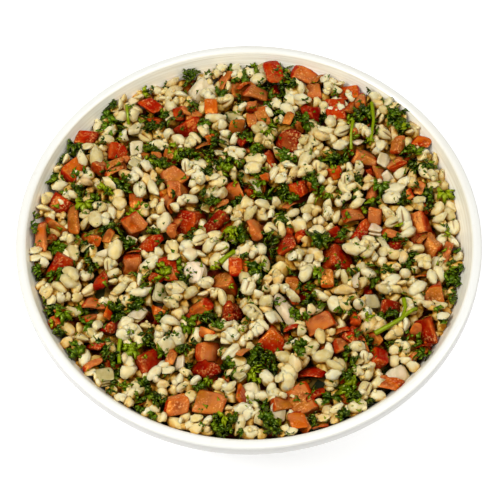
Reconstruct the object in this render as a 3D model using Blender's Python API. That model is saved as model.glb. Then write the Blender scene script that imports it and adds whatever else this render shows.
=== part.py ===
"""A round white serving bowl with a rolled lip, filled with tabbouleh: cooked barley, diced tomato,
onion and chopped parsley. Two solids, the bowl and the heap of salad in it."""

import math

import bmesh
import bpy
import numpy as np
from mathutils import Vector
from mathutils.geometry import delaunay_2d_cdt, interpolate_bezier

# Driving dimensions, in metres. The bowl stands on z = 0 with its axis on Z.
LIP_RADIUS = 0.0930
BOWL_HEIGHT = 0.0620
LIP_COLLAR = 0.0062  # height of the lip's upright outer side
LIP_FLAT_OUTER = 0.0920  # the lip's top face runs between these two radii
LIP_FLAT_INNER = 0.0896
BEVEL_WIDTH = 0.00225  # sloping band inside the lip
BEVEL_DROP = 0.0018
WALL_TAPER = 0.33  # how far the inner wall draws in for each metre down
WALL_THICKNESS = 0.0042
WALL_FOOT_HEIGHT = 0.0380  # the straight wall ends here and turns in to the floor
FLOOR_RADIUS = 0.0360
FLOOR_HEIGHT = 0.0062
FOOT_RADIUS = 0.0450
FOOT_WIDTH = 0.0042
FOOT_HEIGHT = 0.0034
RECESS_HEIGHT = 0.0022
SIDES = 72  # facets round the bowl

# The heap of salad.
FIT_GAP = 0.0003  # left between the salad and the bowl
HEAP_TOP = 0.0599  # height of the heap's middle, before its lumps
HEAP_FALL = 0.0076  # how much lower the heap is at the wall
HEAP_FALL_POWER = 2.4
HEAP_ROLL = 0.0009  # slow rise and fall of the heap's edge
SURFACE_STEP = 0.00315  # spacing of the points on the heap's top
DICE_SPACING = 0.0155
DICE_SIZE = (0.0095, 0.0125)
DICE_RISE = (0.0016, 0.0030)
GRAIN_SPACING = 0.0068
GRAIN_LENGTH = (0.0062, 0.0090)
GRAIN_WIDTH = (0.0044, 0.0056)
GRAIN_RISE = (0.0006, 0.0019)
LUMP_SINK = 0.0012  # depth of the hollows between the lumps
SEED = 7


def clear_scene():
    for obj in list(bpy.data.objects):
        bpy.data.objects.remove(obj, do_unlink=True)


def plain_material(name, colour, roughness):
    material = bpy.data.materials.new(name)
    material.use_nodes = True
    shader = material.node_tree.nodes["Principled BSDF"]
    shader.inputs["Base Color"].default_value = (*colour, 1.0)
    shader.inputs["Roughness"].default_value = roughness
    shader.inputs["Metallic"].default_value = 0.0
    return material


def bezier(start, start_handle, end_handle, end, count):
    """Points of one Bezier stretch in the (radius, height) plane, without its two ends."""
    corners = [Vector((*p, 0.0)) for p in (start, start_handle, end_handle, end)]
    return [(p.x, p.y) for p in interpolate_bezier(*corners, count + 2)[1:-1]]


def inner_radius(height):
    """Radius of the straight part of the bowl's inner wall at a height."""
    top = BOWL_HEIGHT - BEVEL_DROP
    return LIP_FLAT_INNER - BEVEL_WIDTH - WALL_TAPER * (top - height)


def inner_profile():
    """The bowl's inside from the middle of its floor up to the foot of the bevel, as (radius, height)."""
    foot = (inner_radius(WALL_FOOT_HEIGHT), WALL_FOOT_HEIGHT)
    handle_drop = 0.6 * (WALL_FOOT_HEIGHT - FLOOR_HEIGHT)
    wall_handle = (foot[0] - WALL_TAPER * handle_drop, foot[1] - handle_drop)
    floor_handle = (0.85 * foot[0], FLOOR_HEIGHT)
    curve = bezier((FLOOR_RADIUS, FLOOR_HEIGHT), floor_handle, wall_handle, foot, 5)
    return [(0.0, FLOOR_HEIGHT), (FLOOR_RADIUS, FLOOR_HEIGHT), *curve, foot]


def lip_profile():
    """Over the lip, from the foot of the bevel to where the outer wall starts."""
    bevel_foot = (LIP_FLAT_INNER - BEVEL_WIDTH, BOWL_HEIGHT - BEVEL_DROP)
    crown = BOWL_HEIGHT - 0.0003
    turn = LIP_RADIUS - LIP_FLAT_OUTER  # radius of the rounded outer edge
    edge = [
        (LIP_FLAT_OUTER + turn * math.sin(a), crown - turn * (1 - math.cos(a)))
        for a in np.radians((0, 30, 60, 90))
    ]
    collar_foot = BOWL_HEIGHT - LIP_COLLAR
    wall = inner_radius(collar_foot) + WALL_THICKNESS
    return [
        bevel_foot,
        (LIP_FLAT_INNER, crown),
        ((LIP_FLAT_INNER + LIP_FLAT_OUTER) / 2, BOWL_HEIGHT),
        *edge,
        (LIP_RADIUS, collar_foot + 0.0006),
        (LIP_RADIUS - 0.0006, collar_foot),
        (wall + 0.0003, collar_foot - 0.0004),
        (wall - 0.0007, collar_foot - 0.0016),
    ]


def outer_profile():
    """The outer wall below the lip, the foot ring and the recess under the bowl."""
    foot = (inner_radius(WALL_FOOT_HEIGHT) + WALL_THICKNESS, WALL_FOOT_HEIGHT)
    handle_drop = 0.6 * WALL_FOOT_HEIGHT
    wall_handle = (foot[0] - WALL_TAPER * handle_drop, foot[1] - handle_drop)
    base_handle = (FOOT_RADIUS + 0.021, FOOT_HEIGHT + 0.0005)
    curve = bezier(foot, wall_handle, base_handle, (FOOT_RADIUS, FOOT_HEIGHT), 5)
    inner_foot = FOOT_RADIUS - FOOT_WIDTH
    return [
        foot,
        *curve,
        (FOOT_RADIUS, FOOT_HEIGHT),
        (FOOT_RADIUS - 0.0006, 0.0),
        (inner_foot, 0.0),
        (inner_foot - 0.0008, RECESS_HEIGHT),
        (0.0, RECESS_HEIGHT),
    ]


def make_bowl(material):
    """The bowl's whole section, turned round Z."""
    section = [*inner_profile(), *lip_profile(), *outer_profile()]
    mesh = bpy.data.meshes.new("bowl")
    edges = [(i, i + 1) for i in range(len(section) - 1)]
    mesh.from_pydata([(r, 0.0, z) for r, z in section], edges, [])
    mesh.materials.append(material)
    bowl = bpy.data.objects.new("bowl", mesh)
    bpy.context.collection.objects.link(bowl)
    turn = bowl.modifiers.new("turn", "SCREW")
    turn.axis = "Z"
    turn.angle = 2 * math.pi
    turn.steps = SIDES
    turn.render_steps = SIDES
    turn.use_merge_vertices = True
    turn.merge_threshold = 0.00001
    turn.use_smooth_shade = True
    return bowl


def rim_directions():
    """Unit vectors to the bowl's facet corners, so that the salad's side has the same facets."""
    angles = np.arange(SIDES) * 2 * math.pi / SIDES
    return np.column_stack((np.cos(angles), np.sin(angles)))


def heap_base(x, y):
    """Height of the heap before its lumps: a low mound, with an edge that rises and falls slowly."""
    radius = np.hypot(x, y) / inner_radius(HEAP_TOP - HEAP_FALL)
    angle = np.arctan2(y, x)
    roll = np.sin(2 * angle + 0.7) + 0.6 * np.sin(3 * angle - 1.1) + 0.4 * np.sin(5 * angle)
    swell = np.sin(x / 0.021 + 1.3) * np.sin(y / 0.024)
    fall = HEAP_FALL * radius**HEAP_FALL_POWER
    return HEAP_TOP - fall + HEAP_ROLL * (roll * radius**2 + swell)


def scattered(rng, spacing, reach):
    """Places on a jittered triangular net, out to a radius."""
    row = spacing * math.sqrt(3) / 2
    count = int(reach / row) + 1
    net = [
        ((i + 0.5 * (j % 2)) * spacing, j * row)
        for j in range(-count, count + 1)
        for i in range(-count, count + 1)
    ]
    places = np.array(net) + rng.uniform(-0.36, 0.36, (len(net), 2)) * spacing
    return places[np.hypot(places[:, 0], places[:, 1]) < reach]


def lumps(rng, points):
    """How far each point is lifted by the piece of food under it. Dice have square, tilted tops and
    grains have round ones, and the highest piece at a point shows."""
    lift = np.full(len(points), -LUMP_SINK)
    reach = inner_radius(HEAP_TOP - HEAP_FALL)
    kinds = (
        (GRAIN_SPACING, GRAIN_LENGTH, GRAIN_WIDTH, GRAIN_RISE, 2, 0.05),
        (DICE_SPACING, DICE_SIZE, DICE_SIZE, DICE_RISE, 5, 0.22),
    )
    for spacing, length, width, rise, squareness, slope in kinds:
        for x, y in scattered(rng, spacing, reach - 0.3 * spacing):
            turn = rng.uniform(0, math.pi)
            along = (points - (x, y)) @ (math.cos(turn), math.sin(turn))
            across = (points - (x, y)) @ (-math.sin(turn), math.cos(turn))
            u = along / (rng.uniform(*length) / 2)
            v = across / (rng.uniform(*width) / 2)
            spread = np.abs(u) ** squareness + np.abs(v) ** squareness
            tilt = rng.uniform(-slope, slope, 2)
            top = rng.uniform(*rise) + tilt[0] * along + tilt[1] * across
            cap = (top + LUMP_SINK) * np.sqrt(np.clip(1 - spread, 0, 1)) - LUMP_SINK
            lift = np.where(spread < 1, np.maximum(lift, cap), lift)
    return lift


def salad_side():
    """The salad's side below its edge: the bowl's inner section, drawn in by the fitting gap."""
    section = inner_profile()[1:]
    normals = []
    for i, point in enumerate(section):
        before = section[max(i - 1, 0)]
        after = section[min(i + 1, len(section) - 1)]
        run = Vector((after[0] - before[0], after[1] - before[1])).normalized()
        normals.append((-run.y, run.x))
    return [(r + FIT_GAP * n[0], z + FIT_GAP * n[1]) for (r, z), n in zip(section, normals)]


def make_salad(material):
    """The heap as one solid: the bowl's facets below, and a lumpy top made from a net of points."""
    rng = np.random.default_rng(SEED)
    directions = rim_directions()
    edge_guess = directions * inner_radius(HEAP_TOP - HEAP_FALL)
    edge_height = heap_base(edge_guess[:, 0], edge_guess[:, 1])
    edge_radius = np.array([inner_radius(z) for z in edge_height]) - FIT_GAP * 1.1
    edge = directions * edge_radius[:, None]
    row = SURFACE_STEP * math.sqrt(3) / 2
    count = int(LIP_RADIUS / row)
    net = np.array(
        [
            ((i + 0.5 * (j % 2)) * SURFACE_STEP, j * row)
            for j in range(-count, count + 1)
            for i in range(-count, count + 1)
        ]
    )
    net = net[np.hypot(net[:, 0], net[:, 1]) < edge_radius.min() - 0.6 * SURFACE_STEP]
    net_height = heap_base(net[:, 0], net[:, 1]) + lumps(rng, net)

    shape = bmesh.new()
    side = salad_side()
    rings = [[shape.verts.new((*(d * r), z)) for d in directions] for r, z in side]
    top_ring = [shape.verts.new((*p, z)) for p, z in zip(edge, edge_height)]
    rings.append(top_ring)
    for lower, upper in zip(rings, rings[1:]):
        for i in range(SIDES):
            j = (i + 1) % SIDES
            shape.faces.new((lower[i], lower[j], upper[j], upper[i]))
    shape.faces.new(rings[0][::-1])
    flat = [Vector(p) for p in (*edge, *net)]
    loop = [(i, (i + 1) % SIDES) for i in range(SIDES)]
    triangles = delaunay_2d_cdt(flat, loop, [], 1, 1e-9)[2]
    top = top_ring + [shape.verts.new((*p, z)) for p, z in zip(net, net_height)]
    for triangle in triangles:
        shape.faces.new([top[i] for i in triangle])
    bmesh.ops.recalc_face_normals(shape, faces=shape.faces)
    mesh = bpy.data.meshes.new("salad")
    shape.to_mesh(mesh)
    shape.free()
    mesh.materials.append(material)
    mesh.shade_smooth()
    salad = bpy.data.objects.new("salad", mesh)
    bpy.context.collection.objects.link(salad)
    return salad


def main():
    clear_scene()
    make_bowl(plain_material("white_glaze", (0.86, 0.85, 0.80), 0.30))
    make_salad(plain_material("tabbouleh", (0.62, 0.52, 0.27), 0.45))


main()
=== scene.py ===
# A white bowl of tabbouleh: cooked barley, diced tomato, onion and chopped parsley,
# every piece a mesh of its own size, heaped over a smaller core. Lengths are in metres.
import math

import bmesh
import bpy
import numpy as np
from mathutils import Euler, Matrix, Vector


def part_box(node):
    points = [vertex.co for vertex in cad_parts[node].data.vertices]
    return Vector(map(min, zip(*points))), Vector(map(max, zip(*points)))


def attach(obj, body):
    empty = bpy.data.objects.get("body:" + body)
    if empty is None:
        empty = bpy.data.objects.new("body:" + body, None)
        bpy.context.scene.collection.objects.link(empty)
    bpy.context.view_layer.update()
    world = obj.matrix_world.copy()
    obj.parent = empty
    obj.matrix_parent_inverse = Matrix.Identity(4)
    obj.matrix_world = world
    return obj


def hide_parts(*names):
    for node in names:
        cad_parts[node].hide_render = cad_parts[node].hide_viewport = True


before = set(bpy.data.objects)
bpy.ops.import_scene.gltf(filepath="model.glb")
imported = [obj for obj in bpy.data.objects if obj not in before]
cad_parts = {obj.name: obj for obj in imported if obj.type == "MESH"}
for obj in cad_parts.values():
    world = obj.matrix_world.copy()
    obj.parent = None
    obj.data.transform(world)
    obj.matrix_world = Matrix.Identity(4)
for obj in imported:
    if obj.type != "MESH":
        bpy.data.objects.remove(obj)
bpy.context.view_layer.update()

mm = 0.001
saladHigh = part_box("salad")[1]
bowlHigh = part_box("bowl")[1]


class Wire:
    # one output of a node tree; sums on it add Math nodes, and node() adds any other kind
    def __init__(self, tree, socket=None):
        self.tree = tree
        self.socket = socket

    def node(self, kind, settings=None, sockets=None, output=0):
        made = self.tree.nodes.new(kind)
        for key, value in (settings or {}).items():
            if key == "stops":
                setStops(made.color_ramp, value)
            else:
                setattr(made, key, value)
        for key, value in (sockets or {}).items():
            target = findSocket(made.inputs, key)
            if isinstance(value, Wire):
                self.tree.links.new(value.socket, target)
            elif isinstance(value, (list, tuple)) and isinstance(value[0], Wire):
                for wire in value:
                    self.tree.links.new(wire.socket, target)
            else:
                target.default_value = value
        return Wire(self.tree, findSocket(made.outputs, output))

    def pick(self, output):
        # another output of the same node
        return Wire(self.tree, findSocket(self.socket.node.outputs, output))

    def math(self, operation, *others):
        sockets = dict(enumerate((self, *others)))
        return self.node("ShaderNodeMath", {"operation": operation}, sockets)

    def mix(self, low, high):
        # low where this wire is 0 and high where it is 1, for colours
        settings = {"data_type": "RGBA", "blend_type": "MIX"}
        return self.node("ShaderNodeMix", settings, {"Factor": self, "A": low, "B": high}, "Result")

    def ramp(self, *stops):
        # (place, colour or grey) pairs
        return self.node("ShaderNodeValToRGB", {"stops": stops}, {"Fac": self})

    def step(self, low, high):
        # 0 below low and 1 above high, smooth between
        settings = {"interpolation_type": "SMOOTHSTEP"}
        return self.node("ShaderNodeMapRange", settings, {"Value": self, "From Min": low, "From Max": high})

    def __add__(self, other):
        return self.math("ADD", other)

    def __sub__(self, other):
        return self.math("SUBTRACT", other)

    def __mul__(self, other):
        return self.math("MULTIPLY", other)

    def __rsub__(self, other):
        return self.node("ShaderNodeMath", {"operation": "SUBTRACT"}, {0: other, 1: self})

    __radd__ = __add__
    __rmul__ = __mul__


def findSocket(sockets, key):
    if isinstance(key, int):
        return [s for s in sockets if s.enabled][key]
    return next(s for s in sockets if s.enabled and key in (s.name, s.identifier))


def setStops(ramp, stops):
    while len(ramp.elements) < len(stops):
        ramp.elements.new(1.0)
    for element, (place, colour) in zip(ramp.elements, stops):
        element.position = place
        shade = (colour,) * 3 if isinstance(colour, (int, float)) else colour
        element.color = (*shade, 1.0)


def rgb(red, green, blue):
    # a screen colour, 0 to 255, as the linear colour that a shader takes
    def linear(c):
        return c / 255 / 12.92 if c < 10 else ((c / 255 + 0.055) / 1.055) ** 2.4

    return tuple(linear(c) for c in (red, green, blue))


def rgba(*colour):
    return (*rgb(*colour), 1.0)


def newMaterial(name, constants):
    # a Principled material with the values that are the same all over; returns its first wire and its shader
    material = bpy.data.materials.new(name)
    material.use_nodes = True
    shader = material.node_tree.nodes["Principled BSDF"]
    for key, value in constants.items():
        shader.inputs[key].default_value = value
    return material, Wire(material.node_tree), shader


def feed(shader, **wires):
    # links wires to the shader's sockets: baseColor=..., roughness=..., normal=...
    names = {"baseColor": "Base Color", "roughness": "Roughness", "normal": "Normal"}
    for key, wire in wires.items():
        wire.tree.links.new(wire.socket, shader.inputs[names[key]])


def placeOn(start):
    # the point being shaded, in the object's own coordinates
    return start.node("ShaderNodeTexCoord", {}, {}, "Object")


def noiseAt(start, place, scale, detail=2.0):
    return start.node("ShaderNodeTexNoise", {}, {"Vector": place, "Scale": scale, "Detail": detail}, "Fac")


def bump(start, height, strength, distance):
    return start.node("ShaderNodeBump", {}, {"Height": height, "Strength": strength, "Distance": distance})


def attribute(start, name):
    return start.node("ShaderNodeAttribute", {"attribute_name": name}, {}, "Fac")


def meshObject(name, points, faces, values=None, edges=()):
    # an unlinked mesh object, shaded smooth, with a float attribute for each entry of values
    mesh = bpy.data.meshes.new(name)
    mesh.from_pydata([tuple(p) for p in points], edges, faces)
    mesh.shade_smooth()
    for key, numbers in (values or {}).items():
        mesh.attributes.new(key, "FLOAT", "POINT").data.foreach_set("value", np.asarray(numbers, np.float32))
    mesh.update()
    return bpy.data.objects.new(name, mesh)


def collectionOf(name, objects):
    # a collection outside the scene, whose shapes the trees pick by their place in it
    made = bpy.data.collections.new(name)
    for index, obj in enumerate(objects):
        obj.name = f"{name}{index:02d}"
        made.objects.link(obj)
    return made


def newTree(name, inputs):
    # a Geometry Nodes tree with the named inputs; returns it, its first wire and the input wires by name
    tree = bpy.data.node_groups.new(name, "GeometryNodeTree")
    tree.is_modifier = True
    tree.interface.new_socket("Geometry", in_out="OUTPUT", socket_type="NodeSocketGeometry")
    for key, kind in inputs.items():
        tree.interface.new_socket(key, in_out="INPUT", socket_type="NodeSocket" + kind)
    entry = tree.nodes.new("NodeGroupInput")
    return tree, Wire(tree), {key: Wire(tree, entry.outputs[key]) for key in inputs}


def endTree(geometry, material):
    # every tree ends the same way: instances realized, material set
    real = geometry.node("GeometryNodeRealizeInstances", {}, {"Geometry": geometry})
    done = real.node("GeometryNodeSetMaterial", {}, {"Geometry": real, "Material": material})
    output = done.tree.nodes.new("NodeGroupOutput")
    done.tree.links.new(done.socket, output.inputs["Geometry"])


def runTree(name, tree, base, inputs):
    # base's mesh or curve through the tree, as a plain mesh object in the scene
    bpy.context.scene.collection.objects.link(base)
    modifier = base.modifiers.new("tree", "NODES")
    modifier.node_group = tree
    for item in tree.interface.items_tree:
        if item.in_out == "INPUT" and item.name in inputs:
            modifier[item.identifier] = inputs[item.name]
    graph = bpy.context.evaluated_depsgraph_get()
    mesh = bpy.data.meshes.new_from_object(base.evaluated_get(graph), depsgraph=graph)
    mesh.name = name
    bpy.data.objects.remove(base)
    made = bpy.data.objects.new(name, mesh)
    bpy.context.scene.collection.objects.link(made)
    print(f"{name}: {sum(len(p.vertices) - 2 for p in mesh.polygons)} triangles")
    return made


def sphereGrid(rings, around):
    # faces of a closed grid: one pole, rings of points, the other pole
    last = rings * around + 1
    faces = [(0, 1 + (k + 1) % around, 1 + k) for k in range(around)]
    for ring in range(rings - 1):
        for k in range(around):
            a, b = 1 + ring * around + k, 1 + ring * around + (k + 1) % around
            faces.append((a, b, b + around, a + around))
    first = 1 + (rings - 1) * around
    faces += [(last, first + k, first + (k + 1) % around) for k in range(around)]
    return faces


def waves(rng, points, length, count=6):
    # smooth noise from a few random waves of about that length, mostly between -1 and 1
    total = np.zeros(len(points))
    for _ in range(count):
        way = rng.normal(size=points.shape[1])
        way *= 2 * math.pi / (np.linalg.norm(way) * length * rng.uniform(0.7, 1.5))
        total += np.sin(points @ way + rng.uniform(0, 2 * math.pi))
    return total / math.sqrt(count)


def join(parts):
    # (points, faces, values) triples as one; every values is a dictionary with the same keys
    points, faces, values = [], [], {}
    shift = 0
    for somePoints, someFaces, someValues in parts:
        points.append(somePoints)
        faces += [tuple(i + shift for i in face) for face in someFaces]
        for key, numbers in someValues.items():
            values.setdefault(key, []).append(numbers)
        shift += len(somePoints)
    return np.vstack(points), faces, {key: np.concatenate(numbers) for key, numbers in values.items()}


barley = {
    "length": 8.6 * mm, "width": 6.0 * mm, "height": 5.3 * mm,
    "creaseDepth": 0.42,  # of the grain's half height
    "creaseHalf": 0.24,  # radians round the grain
    "lipHeight": 0.07, "lipPlace": 0.8, "lipHalf": 0.4,  # the swelling on either side of the crease
    "rings": 6,
    "seed": 11,
    # whole grains: how bent, how deep the crease, how lumpy and how thick
    "grains": (
        (0.00, 1.0, 0.07, 1.00), (0.05, 1.3, 0.10, 1.10), (0.03, 0.4, 0.12, 0.97), (0.08, 0.8, 0.12, 0.92),
        (0.00, 1.5, 0.10, 1.14), (0.14, 0.3, 0.12, 0.82), (0.04, 0.0, 0.15, 1.08), (0.02, 0.0, 0.18, 1.20),
    ),
    # broken grains: size in mm and chops; burst grains: size in mm and knobs
    "crumbs": ((5.8, 2), (7.0, 3), (8.0, 4), (5.0, 2), (6.4, 3)),
    "lumps": ((8.2, 3), (9.2, 4), (7.6, 3), (10.0, 4), (8.6, 3)),
    "clusters": (3, 4, 6, 5, 7, 4, 5, 3),  # grains stuck together in each
}


def grainShape(rng, bend=0.0, crease=1.0, puff=0.05, slim=1.0):
    # a plump grain along X with its crease on top; its points crowd towards the crease
    around = np.radians((0, 13, 33, 62, 98, 138, 180, 222, 262, 298, 327, 347))
    along = np.cos(np.linspace(0, math.pi, barley["rings"] + 2))[1:-1]
    half = np.array((barley["length"], barley["width"] * slim, barley["height"] * slim)) / 2
    taper = rng.uniform(0.05, 0.22)
    points, groove = [(half[0], 0, 0)], [0.0]
    for t in along:
        reach = (1 - abs(t) ** 2.3) ** 0.5 * (1 - taper * t)
        for turn in around:
            aside = math.remainder(turn, 2 * math.pi)
            depth = math.exp(-(aside / barley["creaseHalf"]) ** 2) * (1 - t ** 4)
            lip = math.exp(-((abs(aside) - barley["lipPlace"]) / barley["lipHalf"]) ** 2)
            swell = 1 + barley["lipHeight"] * lip * crease
            y = half[1] * reach * math.sin(turn) * swell
            z = half[2] * reach * math.cos(turn) * swell * (1 - barley["creaseDepth"] * crease * depth)
            points.append((half[0] * t, y, z))
            groove.append(depth * crease)
    points.append((-half[0], 0, 0))
    groove.append(0.0)
    points = np.array(points)
    points *= 1 + puff * (waves(rng, points, 4.5 * mm) + 0.6 * waves(rng, points, 2.4 * mm))[:, None]
    points[:, 2] -= bend * (points[:, 0] ** 2) / half[0]
    return points, sphereGrid(len(along), len(around)), {"crease": np.array(groove)}


def crumbShape(rng, size, chops=2, around=10, rings=6, rough=0.27):
    # a broken, burst bit of grain; each chop flattens it on one side
    turns = np.linspace(0, 2 * math.pi, around, endpoint=False)
    points = [(0, 0, 1)]
    for tilt in np.linspace(0, math.pi, rings + 2)[1:-1]:
        across, up = math.sin(tilt), math.cos(tilt)
        points += [(across * math.cos(a), across * math.sin(a), up) for a in turns]
    points = np.array(points + [(0, 0, -1)])
    points *= 1 + rough * (0.7 * waves(rng, points, 1.7) + 0.5 * waves(rng, points, 0.8))[:, None]
    for _ in range(chops):
        way = rng.normal(size=3)
        way /= np.linalg.norm(way)
        points -= np.maximum(points @ way - rng.uniform(0.30, 0.70), 0)[:, None] * way * 0.78
    points *= size / 2 * np.array((rng.uniform(1.0, 1.3), rng.uniform(0.85, 1.1), rng.uniform(0.75, 1.0)))
    return points, sphereGrid(rings, around), {"crease": np.zeros(len(points))}


def lumpShape(rng, size, count):
    # a burst grain: a few small knobs grown together
    parts = [turned(crumbShape(rng, size * 0.72, 3, 9, 5), rng, (0, 0, 0))]
    for _ in range(count - 1):
        way = rng.normal(size=3) * (1, 1, 0.7)
        way *= size * rng.uniform(0.28, 0.42) / np.linalg.norm(way)
        parts.append(turned(crumbShape(rng, size * rng.uniform(0.45, 0.72), 2, 8, 4), rng, way))
    return join(parts)


def turned(part, rng, shift, tilt=math.pi):
    # the part turned at random and moved
    points, faces, values = part
    spin = Euler([rng.uniform(-tilt, tilt) for _ in range(3)]).to_matrix()
    return points @ np.array(spin).T + np.array(shift), faces, values


def clusterShape(rng, count):
    # whole and broken grains stuck together, each overlapping one before it
    spots, parts = [np.zeros(3)], []
    for index in range(count):
        if index % 3 == 0:
            part = grainShape(rng, slim=rng.uniform(0.8, 1.0))
        else:
            part = crumbShape(rng, rng.uniform(4.6, 7.0) * mm, 2, 9, 5)
        if index:
            way = rng.normal(size=3) * (1, 1, 0.45)
            near = spots[rng.integers(len(spots))]
            spots.append(near + way / np.linalg.norm(way) * rng.uniform(2.8, 4.2) * mm)
        part = (part[0] * rng.uniform(0.74, 0.98), part[1], part[2])
        parts.append(turned(part, rng, spots[-1]))
    points, faces, values = join(parts)
    return points - points.mean(0), faces, values


def barleyShapes():
    rng = np.random.default_rng(barley["seed"])
    whole = [grainShape(rng, bend, crease, puff, slim) for bend, crease, puff, slim in barley["grains"]]
    crumbs = [crumbShape(rng, size * mm, chops) for size, chops in barley["crumbs"]]
    crumbs += [lumpShape(rng, size * mm, count) for size, count in barley["lumps"]]
    clusters = [clusterShape(rng, count) for count in barley["clusters"]]
    return whole, crumbs, clusters


tomato = {
    "side": 11.0 * mm,
    "cuts": 6,
    "rise": 1.4 * mm,  # how far the placed pieces stand over the goal
    "seed": 23,
    # blocks: sides against the side above, how far the skin bulges, and chops
    "blocks": (
        ((1.00, 0.92, 0.80), 0.10, 1), ((0.95, 1.05, 0.70), 0.14, 2), ((0.90, 0.90, 0.90), 0.08, 3),
        ((1.10, 0.80, 0.75), 0.12, 2), ((1.00, 1.00, 0.62), 0.16, 1), ((1.15, 0.95, 0.70), 0.20, 4),
    ),
    # slabs: sides, curl and chops; pulps: sides and chops
    "slabs": (
        ((1.25, 0.75, 0.30), 0.5, 1), ((1.45, 0.55, 0.24), 0.9, 2), ((1.1, 0.9, 0.34), 0.3, 2),
        ((1.2, 0.9, 0.26), 0.7, 3),
    ),
    "pulps": (((0.95, 0.8, 0.6), 2), ((0.8, 0.75, 0.7), 3), ((1.1, 0.7, 0.5), 2), ((1.0, 0.9, 0.45), 4)),
    # where the larger pieces lie: x, y and longest side in mm, then the tint (0 deep red, 0.35 red,
    # 0.6 orange, 0.8 pink, 1 brown) and the cut
    "places": (
        (24, 84, 12.0, 0.60, "slab"), (27, 72, 8.8, 0.80, "slab"), (25, 61, 8.8, 0.30, "pulp"),
        (37, 63, 11.6, 0.40, "block"), (43, 73, 10.8, 0.50, "block"), (16, 49, 12.8, 0.05, "block"),
        (9, 39, 10.4, 0.45, "slab"), (20, 23, 9.6, 0.45, "block"), (34, 30, 7.2, 0.60, "slab"),
        (-11, 79, 10.4, 0.90, "slab"), (3, 71, 11.2, 0.85, "slab"), (-4, 55, 9.6, 0.90, "slab"),
        (-26, 52, 13.9, 0.25, "slab"), (-6, 21, 12.0, 0.75, "slab"), (-55, 43, 10.0, 0.40, "block"),
        (-68, 49, 10.4, 0.30, "slab"), (-71, 33, 12.0, 0.55, "block"), (-61, 34, 8.0, 0.90, "pulp"),
        (-31, 30, 12.8, 0.80, "block"), (-41, 65, 11.2, 0.35, "slab"), (-77, 19, 13.5, 0.12, "block"),
        (-79, 7, 12.8, 0.92, "block"), (-76, -11, 13.2, 0.30, "block"), (-47, 7, 11.2, 0.65, "block"),
        (-65, 1, 9.6, 0.60, "slab"), (-40, -2, 10.0, 0.40, "slab"), (-59, -17, 12.0, 0.50, "slab"),
        (-47, -11, 8.8, 0.80, "pulp"), (-61, -28, 10.0, 0.65, "slab"), (-36, -33, 7.6, 0.60, "block"),
        (-56, -39, 7.2, 0.20, "block"), (-60, -47, 8.0, 0.25, "slab"), (-24, 10, 13.5, 0.35, "block"),
        (-14, 8, 12.0, 0.10, "pulp"), (2, 5, 12.8, 0.75, "pulp"), (14, -2, 12.0, 0.30, "slab"),
        (-9, -19, 12.0, 0.90, "block"), (-20, -31, 12.0, 0.60, "pulp"), (-7, -32, 9.6, 0.15, "pulp"),
        (9, -45, 13.5, 0.50, "block"), (28, -37, 13.5, 0.80, "block"), (35, -9, 13.5, 0.30, "block"),
        (51, 12, 7.6, 0.75, "block"), (68, 9, 11.2, 0.70, "block"), (44, 2, 11.2, 0.30, "slab"),
        (73, -1, 11.2, 0.85, "pulp"), (79, -4, 10.0, 0.70, "pulp"), (47, 39, 12.0, 0.75, "block"),
        (61, 44, 8.0, 0.90, "pulp"), (60, 36, 8.8, 0.75, "pulp"), (74, 48, 8.8, 0.50, "slab"),
        (73, -23, 11.6, 0.88, "block"), (69, -39, 13.2, 0.15, "block"), (56, -30, 9.6, 0.15, "slab"),
        (49, -53, 10.4, 0.50, "block"), (54, -63, 12.0, 0.60, "slab"), (42, -35, 8.0, 0.50, "pulp"),
        (-40, -53, 12.4, 0.15, "block"), (-17, -57, 12.0, 0.10, "pulp"), (-16, -50, 9.6, 0.75, "slab"),
        (-15, -72, 13.5, 0.85, "block"), (-28, -73, 10.4, 0.70, "slab"), (20, -70, 14.7, 0.80, "block"),
        (24, -58, 14.0, 0.35, "slab"), (-3, -69, 10.4, 0.50, "slab"), (18, -79, 8.8, 0.60, "slab"),
    ),
}
onion = {
    "rise": 0.4 * mm,
    "seed": 31,
    # sides in mm, squareness, curl, chops and layers
    "shapes": (
        ((9.0, 6.6, 3.0), 7.0, 0.0, 2, 2), ((7.0, 6.0, 4.4), 8.0, 0.0, 1, 3),
        ((12.0, 4.2, 2.4), 6.0, 0.6, 1, 1), ((6.5, 5.5, 2.0), 7.0, 0.5, 2, 1),
        ((9.5, 8.0, 3.2), 6.0, 0.0, 3, 2), ((5.5, 5.0, 3.8), 7.0, 0.0, 2, 2),
        ((11.0, 3.0, 1.6), 6.0, 2.2, 0, 1),
    ),
    # x, y and longest side in mm, and which shape
    "places": (
        (-20, 74, 13.5, 0), (5, 84, 8.0, 3), (-7, 60, 11.2, 2), (-11, 47, 6.4, 5), (-47, 45, 8.0, 1),
        (-47, 55, 7.2, 5), (-47, 35, 8.0, 1), (-22, -15, 13.5, 1), (15, -32, 15.9, 2), (51, 5, 7.2, 5),
        (48, -27, 8.8, 1), (55, 38, 8.0, 3), (56, 30, 6.0, 5), (45, 47, 7.2, 3), (-59, -7, 11.2, 2),
        (-37, -25, 8.8, 4), (-44, -33, 10.4, 4), (-56, -60, 8.8, 1), (11, -76, 8.8, 3), (59, -61, 11.2, 0),
        (0, -66, 10.4, 1),
    ),
}


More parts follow.
